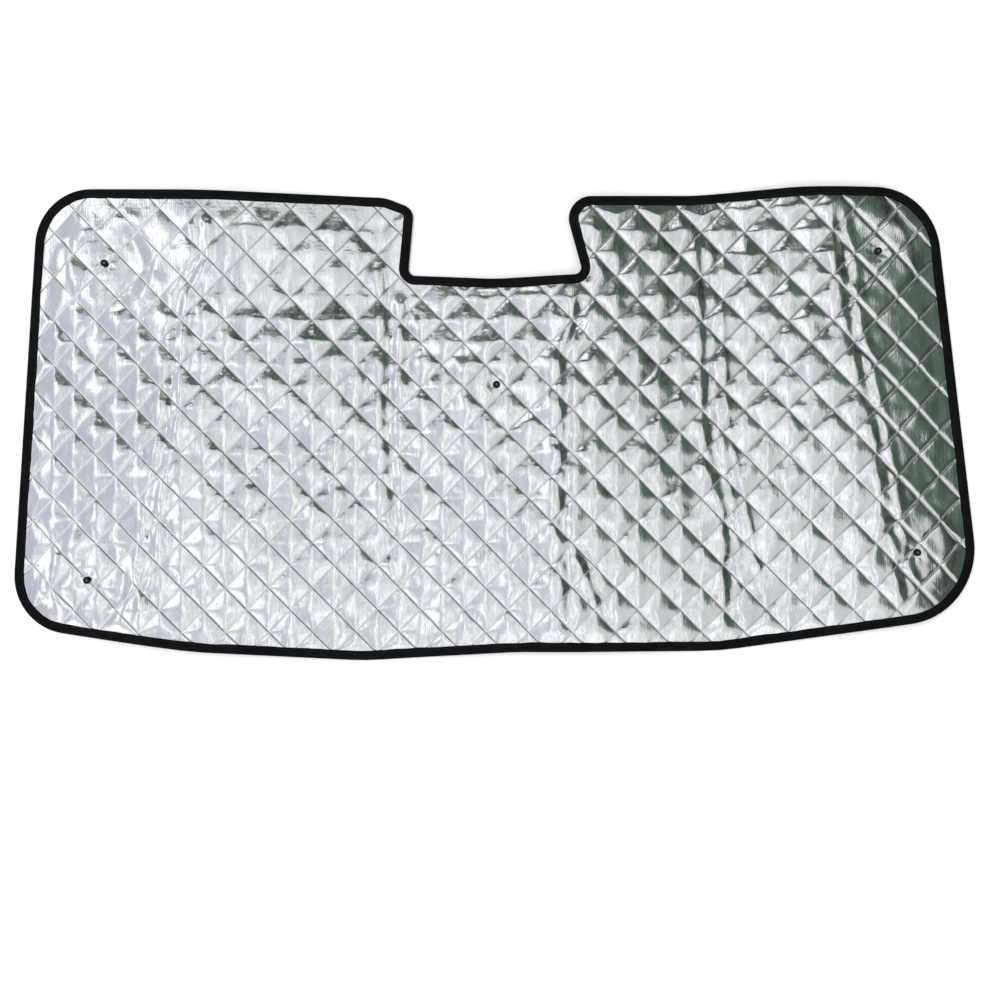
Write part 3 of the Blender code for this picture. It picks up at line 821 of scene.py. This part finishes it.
def metallisedFilm():
    # Aluminium-metallised polyester on a woven scrim: a mirror crumpled into soft facets, with drawn
    # streaks down the roll and the scrim's fine squares just showing through.
    made, tree, shader = newMaterial("metallised_polyester_film")
    coord = addNode(tree, "ShaderNodeTexCoord")
    cells = addNode(tree, "ShaderNodeUVMap", {"uv_map": "quilting"})
    place = {"Vector": coord.outputs["Object"]}
    wornMap = addNode(tree, "ShaderNodeMapping", {"Scale": (60, 26, 60)}, place)
    worn = addNode(tree, "ShaderNodeTexNoise", {"Scale": 1.0, "Detail": 5.0, "Roughness": 0.6},
                   {"Vector": wornMap.outputs[0]})
    tint = addNode(tree, "ShaderNodeValToRGB", links={"Fac": worn.outputs["Fac"]},
                   stops=[(0.30, "#EBEDEF"), (0.70, "#FBFCFC")])
    tree.links.new(tint.outputs["Color"], shader.inputs["Base Color"])
    gloss = addNode(tree, "ShaderNodeMapRange",
                    {"From Min": 0.3, "From Max": 0.75, "To Min": 0.05, "To Max": 0.19},
                    {"Value": worn.outputs["Fac"]})
    tree.links.new(gloss.outputs["Result"], shader.inputs["Roughness"])
    shader.inputs["Metallic"].default_value = 1.0
    # streaks of about 1.6 mm across and 18 mm long, down the roll
    streakMap = addNode(tree, "ShaderNodeMapping", {"Scale": (620, 55, 400)}, place)
    streak = addNode(tree, "ShaderNodeTexNoise", {"Scale": 1.0, "Detail": 3.0, "Roughness": 0.55},
                     {"Vector": streakMap.outputs[0]})
    # crumples of about 14 mm
    crumpleMap = addNode(tree, "ShaderNodeMapping", {"Scale": (85, 60, 80)}, place)
    crumple = addNode(tree, "ShaderNodeTexNoise",
                      {"Scale": 1.0, "Detail": 4.0, "Roughness": 0.62, "Distortion": 0.6},
                      {"Vector": crumpleMap.outputs[0]})
    # scrim squares: real ones of about 1.6 mm, drawn at 6 mm so that they show
    scrimX = addNode(tree, "ShaderNodeTexWave", {**squares, "bands_direction": "X"}, place)
    scrimY = addNode(tree, "ShaderNodeTexWave", {**squares, "bands_direction": "Y"}, place)
    scrim = addNode(tree, "ShaderNodeMath", {"operation": "ADD"},
                    {0: scrimX.outputs["Fac"], 1: scrimY.outputs["Fac"]})
    # seams: a dimple for each stitch of clear nylon thread, 4 mm long, in a groove 3 mm wide
    split = addNode(tree, "ShaderNodeSeparateXYZ", links={0: cells.outputs["UV"]})
    grooves, dashes = [], []
    for here, other in ((split.outputs["X"], split.outputs["Y"]), (split.outputs["Y"], split.outputs["X"])):
        near = addNode(tree, "ShaderNodeMath", {"operation": "PINGPONG", 1: 0.5}, {0: here})
        groove = addNode(tree, "ShaderNodeMapRange", {**easing, "From Min": 0.002, "From Max": 0.038},
                         {"Value": near.outputs[0]})
        count = addNode(tree, "ShaderNodeMath", {"operation": "MULTIPLY", 1: 11.3}, {0: other})
        beat = addNode(tree, "ShaderNodeMath", {"operation": "PINGPONG", 1: 0.5}, {0: count.outputs[0]})
        thread = addNode(tree, "ShaderNodeMapRange", {"From Min": 0.06, "From Max": 0.16},
                         {"Value": beat.outputs[0]})
        onLine = addNode(tree, "ShaderNodeMapRange", {"From Min": 0.003, "From Max": 0.007, **falling},
                         {"Value": near.outputs[0]})
        dash = addNode(tree, "ShaderNodeMath", {"operation": "MULTIPLY"},
                       {0: thread.outputs[0], 1: onLine.outputs[0]})
        grooves.append(groove.outputs["Result"])
        dashes.append(dash.outputs[0])
    groove = addNode(tree, "ShaderNodeMath", {"operation": "MINIMUM"}, {0: grooves[0], 1: grooves[1]})
    dash = addNode(tree, "ShaderNodeMath", {"operation": "MAXIMUM"}, {0: dashes[0], 1: dashes[1]})
    # one relief over the other, each with its depth in metres
    bump = None
    for height, depth in [(crumple.outputs["Fac"], 0.00030), (streak.outputs["Fac"], 0.00011),
                          (scrim.outputs[0], 0.00001), (groove.outputs[0], 0.00054),
                          (dash.outputs[0], 0.00025)]:
        below = {"Normal": bump.outputs["Normal"]} if bump else {}
        bump = addNode(tree, "ShaderNodeBump", {"Strength": 1.0, "Distance": depth},
                       {"Height": height, **below})
    tree.links.new(bump.outputs["Normal"], shader.inputs["Normal"])
    return made


def wovenTape():
    # Black polypropylene tape: matt and finely ribbed, greyer where it is rubbed, and painted lighter on the
    # raised threads as painted shade between them.
    made, tree, shader = newMaterial("woven_polypropylene_tape")
    tape = addNode(tree, "ShaderNodeUVMap", {"uv_map": "tape"})
    place = {"Vector": tape.outputs["UV"]}
    coord = addNode(tree, "ShaderNodeTexCoord")
    weaving = {"wave_type": "BANDS", "Distortion": 0.5, "Detail": 1.0}
    # real threads of about 0.6 mm, drawn at 1.7 mm along the tape and 2.2 mm across so that they show
    ribs = addNode(tree, "ShaderNodeTexWave", {**weaving, "bands_direction": "X", "Scale": 180.0}, place)
    threads = addNode(tree, "ShaderNodeTexWave", {**weaving, "bands_direction": "Y", "Scale": 140.0}, place)
    weave = addNode(tree, "ShaderNodeMath", {"operation": "MULTIPLY"},
                    {0: ribs.outputs["Fac"], 1: threads.outputs["Fac"]})
    rub = addNode(tree, "ShaderNodeTexNoise", {"Scale": 45.0, "Detail": 4.0, "Roughness": 0.6},
                  {"Vector": coord.outputs["Object"]})
    tint = addNode(tree, "ShaderNodeValToRGB", links={"Fac": rub.outputs["Fac"]},
                   stops=[(0.35, "#070708"), (0.75, "#111113")])
    # painted shade: the weave's raised threads are lightened in the colour, and the grooves between them
    # stay darker
    paintedWeaveShade = addNode(tree, "ShaderNodeMix", {"data_type": "RGBA", "blend_type": "ADD", "Factor": 0.006},
                   {6: tint.outputs["Color"], 7: weave.outputs[0]})
    tree.links.new(paintedWeaveShade.outputs[2], shader.inputs["Base Color"])
    shader.inputs["Roughness"].default_value = 0.78
    shader.inputs["Specular IOR Level"].default_value = 0.05
    bump = addNode(tree, "ShaderNodeBump", {"Strength": 1.0, "Distance": 0.00018},
                   {"Height": weave.outputs[0]})
    tree.links.new(bump.outputs["Normal"], shader.inputs["Normal"])
    return made


def sewingThread():
    # Spun polyester thread: black, slightly shinier than the tape, with painted sheen and shade in bands
    # along its twist.
    made, tree, shader = newMaterial("black_polyester_thread")
    coord = addNode(tree, "ShaderNodeTexCoord")
    paintedTwistBands = addNode(tree, "ShaderNodeTexWave", {"bands_direction": "DIAGONAL", "Scale": 900.0},
                    {"Vector": coord.outputs["Object"]})  # a turn each 0.7 mm
    # painted sheen and shade: the colour goes from near black to grey in bands along the twist
    tint = addNode(tree, "ShaderNodeValToRGB", links={"Fac": paintedTwistBands.outputs["Fac"]},
                   stops=[(0.2, "#0C0C0E"), (0.8, "#2A2A2E")])
    tree.links.new(tint.outputs["Color"], shader.inputs["Base Color"])
    shader.inputs["Roughness"].default_value = 0.5
    return made


def softPvc():
    # Injection-moulded black PVC: satin, nearly black on the rims, with a painted grey-brown highlight in
    # flecks in the dimple of each head, standing in for its reflection.
    made, tree, shader = newMaterial("moulded_black_pvc")
    coord = addNode(tree, "ShaderNodeTexCoord")
    ring = addNode(tree, "ShaderNodeUVMap", {"uv_map": "radius and height"})
    split = addNode(tree, "ShaderNodeSeparateXYZ", links={0: ring.outputs["UV"]})
    fleckNoise = addNode(tree, "ShaderNodeTexNoise", {"Scale": 420.0, "Detail": 4.0, "Roughness": 0.65},
                   {"Vector": coord.outputs["Object"]})  # flecks of about 2 mm and finer
    # painted highlight: the dimple's middle is tinted grey-brown in flecks, in place of its reflection
    dimple = addNode(tree, "ShaderNodeMapRange", {**easing, "From Min": 1.2, "From Max": 2.4, **falling},
                     {"Value": split.outputs["X"]})
    paintedHighlight = addNode(tree, "ShaderNodeMath", {"operation": "MULTIPLY"},
                    {0: dimple.outputs[0], 1: fleckNoise.outputs["Fac"]})
    tint = addNode(tree, "ShaderNodeValToRGB", links={"Fac": paintedHighlight.outputs[0]},
                   stops=[(0.05, "#0A0A0B"), (0.60, "#665E59")])
    tree.links.new(tint.outputs["Color"], shader.inputs["Base Color"])
    gloss = addNode(tree, "ShaderNodeMapRange", {"To Min": 0.30, "To Max": 0.52},
                    {"Value": fleckNoise.outputs["Fac"]})
    tree.links.new(gloss.outputs["Result"], shader.inputs["Roughness"])
    shader.inputs["Specular IOR Level"].default_value = 0.25
    bump = addNode(tree, "ShaderNodeBump", {"Strength": 0.4, "Distance": 0.00005},
                   {"Height": fleckNoise.outputs["Fac"]})
    tree.links.new(bump.outputs["Normal"], shader.inputs["Normal"])
    return made


def fibreWadding():
    # Carded polyester wadding: off-white matt fibres, tangled at about 1 mm.
    made, tree, shader = newMaterial("carded_polyester_wadding")
    coord = addNode(tree, "ShaderNodeTexCoord")
    fibre = addNode(tree, "ShaderNodeTexNoise",
                    {"Scale": 900.0, "Detail": 5.0, "Roughness": 0.7, "Distortion": 2.0},
                    {"Vector": coord.outputs["Object"]})
    tint = addNode(tree, "ShaderNodeValToRGB", links={"Fac": fibre.outputs["Fac"]},
                   stops=[(0.3, "#CFCFCA"), (0.7, "#F3F3EF")])
    tree.links.new(tint.outputs["Color"], shader.inputs["Base Color"])
    shader.inputs["Roughness"].default_value = 0.95
    bump = addNode(tree, "ShaderNodeBump", {"Strength": 0.8, "Distance": 0.0006},
                   {"Height": fibre.outputs["Fac"]})
    tree.links.new(bump.outputs["Normal"], shader.inputs["Normal"])
    return made


filmFinish = metallisedFilm()
pvcFinish = softPvc()
for piece, finish, slot in [
    (frontFilm, filmFinish, "metallised_film"), (backFilm, filmFinish, "metallised_film"),
    (wadding, fibreWadding(), "wadding"),
    (bindingTape, wovenTape(), "binding_tape"), (stitches, sewingThread(), "binding_tape"),
    *[(piece, pvcFinish, "soft_pvc") for piece in cups],
]:
    piece.data.materials.clear()
    piece.data.materials.append(finish)

print("finishes on")


# Floor, light and camera.

view = {
    "width": 1.4583,  # of the picture at the curtain
    "above": 1.60,  # from the curtain to the camera
    "sensor": 36,
    "place": (0.0084, -0.1115, 1.612),
}
lampSettings = [  # name, place, side in metres and power in watts
    ("soft_top", (-0.9, 0.5, 2.6), 2.6, 62),
    ("soft_side", (1.8, -1.4, 2.2), 1.8, 24),
]


def makeFloor():
    mesh = bmesh.new()
    bmesh.ops.create_grid(mesh, x_segments=2, y_segments=2, size=6)
    data = bpy.data.meshes.new("floor")
    mesh.to_mesh(data)
    mesh.free()
    floor = bpy.data.objects.new("floor", data)
    bpy.context.scene.collection.objects.link(floor)
    # painted board: white and quite matt, so that the tape and the film stand clear of it
    made, tree, shader = newMaterial("painted_white_board")
    shader.inputs["Base Color"].default_value = linear("#F4F4F4")
    shader.inputs["Roughness"].default_value = 0.9
    shader.inputs["Specular IOR Level"].default_value = 0.1
    data.materials.append(made)


# The room that the film reflects, drawn on the sky by direction.
def makeRoom():
    room = bpy.data.worlds.new("studio")
    room.use_nodes = True
    bpy.context.scene.world = room
    tree = room.node_tree
    tree.nodes.clear()
    coord = addNode(tree, "ShaderNodeTexCoord")
    toward = coord.outputs["Generated"]
    drift = addNode(tree, "ShaderNodeTexNoise", {"Scale": 3.4, "Detail": 3.0}, {"Vector": toward})
    wander = addNode(tree, "ShaderNodeVectorMath", {"operation": "SUBTRACT", 1: (0.5, 0.5, 0.5)},
                     {0: drift.outputs["Color"]})
    slight = addNode(tree, "ShaderNodeVectorMath", {"operation": "SCALE", "Scale": 0.12},
                     {0: wander.outputs[0]})
    aim = addNode(tree, "ShaderNodeVectorMath", {"operation": "ADD"}, {0: toward, 1: slight.outputs[0]})
    split = addNode(tree, "ShaderNodeSeparateXYZ", links={0: aim.outputs[0]})
    # from left to right: lavender wall, white lamps, pale grey ceiling
    place = addNode(tree, "ShaderNodeMapRange", {"From Min": -1.0, "From Max": 1.0},
                    {"Value": split.outputs["X"]})
    pale = addNode(tree, "ShaderNodeValToRGB", links={"Fac": place.outputs[0]},
                   stops=[(0.00, "#C5C5D1"), (0.27, "#C6C6D2"), (0.36, "#CACAD3"), (0.48, "#CFD2D4"),
                          (1.00, "#D0D5D2")])
    # how close the lamps stand from left to right
    lamps = addNode(tree, "ShaderNodeValToRGB", links={"Fac": place.outputs[0]},
                    stops=[(0.06, "#A8A8A8"), (0.13, "#383838"), (0.215, "#202020"), (0.225, "#A0A0A0"),
                           (0.31, "#808080"), (0.33, "#505050"), (0.42, "#484848"), (0.43, "#A8A8A8"),
                           (0.485, "#909090"), (0.50, "#505050"), (0.56, "#585858"), (0.57, "#989898"),
                           (0.61, "#808080"), (0.63, "#585858"), (1.00, "#585858")])
    tubeMap = addNode(tree, "ShaderNodeMapping", {"Scale": (8.0, 2.2, 1.0)}, {"Vector": toward})
    tubes = addNode(tree, "ShaderNodeTexNoise", {"Scale": 1.0, "Detail": 3.0, "Roughness": 0.6},
                    {"Vector": tubeMap.outputs[0]})
    lampSum = addNode(tree, "ShaderNodeMath", {"operation": "ADD"},
                      {0: tubes.outputs["Fac"], 1: lamps.outputs["Color"]})
    lampOn = addNode(tree, "ShaderNodeMapRange", {**easing, "From Min": 0.66, "From Max": 0.80},
                     {"Value": lampSum.outputs[0]})
    lit = addNode(tree, "ShaderNodeMix", {"data_type": "RGBA", 7: (1.3, 1.3, 1.3, 1)},
                  {0: lampOn.outputs[0], 6: pale.outputs["Color"]})
    # the room's unlit side: dark green above and to the right of the lit part
    slant = addNode(tree, "ShaderNodeVectorMath", {"operation": "DOT_PRODUCT", 1: (0.9, 0.45, 0)},
                    {0: aim.outputs[0]})
    pastRight = addNode(tree, "ShaderNodeMath", {"operation": "SUBTRACT", 1: 0.425},
                        {0: slant.outputs["Value"]})
    pastTop = addNode(tree, "ShaderNodeMath", {"operation": "SUBTRACT", 1: 0.330}, {0: split.outputs["Y"]})
    past = addNode(tree, "ShaderNodeMath", {"operation": "SMOOTH_MAX", 2: 0.08},
                   {0: pastRight.outputs[0], 1: pastTop.outputs[0]})
    beyond = addNode(tree, "ShaderNodeMapRange", {**easing, "From Min": -0.012, "From Max": 0.012},
                     {"Value": past.outputs[0]})
    leftward = addNode(tree, "ShaderNodeVectorMath", {"operation": "DOT_PRODUCT", 1: (1, 0.6, 0)},
                       {0: aim.outputs[0]})
    within = addNode(tree, "ShaderNodeMapRange", {**easing, "From Min": -0.31, "From Max": -0.24},
                     {"Value": leftward.outputs["Value"]})
    # a pale window high on the left, inside the dark region
    windowLow = addNode(tree, "ShaderNodeMapRange",
                        {**easing, "From Min": 0.45, "From Max": 0.48, **falling},
                        {"Value": split.outputs["Y"]})
    windowHigh = addNode(tree, "ShaderNodeMapRange", {**easing, "From Min": 0.62, "From Max": 0.66},
                         {"Value": split.outputs["Y"]})
    windowSide = addNode(tree, "ShaderNodeMapRange", {**easing, "From Min": 0.07, "From Max": 0.13},
                         {"Value": split.outputs["X"]})
    windowUp = addNode(tree, "ShaderNodeMath", {"operation": "MAXIMUM"},
                       {0: windowLow.outputs[0], 1: windowHigh.outputs[0]})
    noWindow = addNode(tree, "ShaderNodeMath", {"operation": "MAXIMUM"},
                       {0: windowUp.outputs[0], 1: windowSide.outputs[0]})
    unlit = addNode(tree, "ShaderNodeMath", {"operation": "MULTIPLY"},
                    {0: beyond.outputs[0], 1: within.outputs[0]})
    dark = addNode(tree, "ShaderNodeMath", {"operation": "MULTIPLY"},
                   {0: unlit.outputs[0], 1: noWindow.outputs[0]})
    green = addNode(tree, "ShaderNodeValToRGB", links={"Fac": tubes.outputs["Fac"]},
                    stops=[(0.36, "#303633"), (0.64, "#6A7D70")])
    walls = addNode(tree, "ShaderNodeMix", {"data_type": "RGBA"},
                    {0: dark.outputs[0], 6: lit.outputs[2], 7: green.outputs["Color"]})
    ground = addNode(tree, "ShaderNodeMapRange", {**easing, "From Min": 0.10, "From Max": 0.34, **falling},
                     {"Value": split.outputs["Z"]})
    whole = addNode(tree, "ShaderNodeMix", {"data_type": "RGBA", 7: linear("#D2D5D4")},
                    {0: ground.outputs[0], 6: walls.outputs[2]})
    back = addNode(tree, "ShaderNodeBackground", {"Strength": 1.0}, {"Color": whole.outputs[2]})
    addNode(tree, "ShaderNodeOutputWorld", links={"Surface": back.outputs[0]})


def makeLampsAndCamera():
    for name, place, side, power in lampSettings:
        lamp = bpy.data.lights.new(name, "AREA")
        lamp.shape = "SQUARE"
        lamp.size = side
        lamp.energy = power
        lampObject = bpy.data.objects.new(name, lamp)
        lampObject.location = place
        lampObject.rotation_euler = (-Vector(place)).to_track_quat("-Z", "Y").to_euler()
        lampObject.visible_glossy = False
        bpy.context.scene.collection.objects.link(lampObject)
    eye = bpy.data.cameras.new("camera")
    eye.sensor_width = view["sensor"]
    eye.lens = view["sensor"] * view["above"] / view["width"]
    eyeObject = bpy.data.objects.new("camera", eye)
    eyeObject.location = view["place"]
    bpy.context.scene.collection.objects.link(eyeObject)
    bpy.context.scene.camera = eyeObject
    bpy.context.scene.view_settings.view_transform = "Standard"


makeFloor()
makeRoom()
makeLampsAndCamera()
print("room, lamps and camera set")
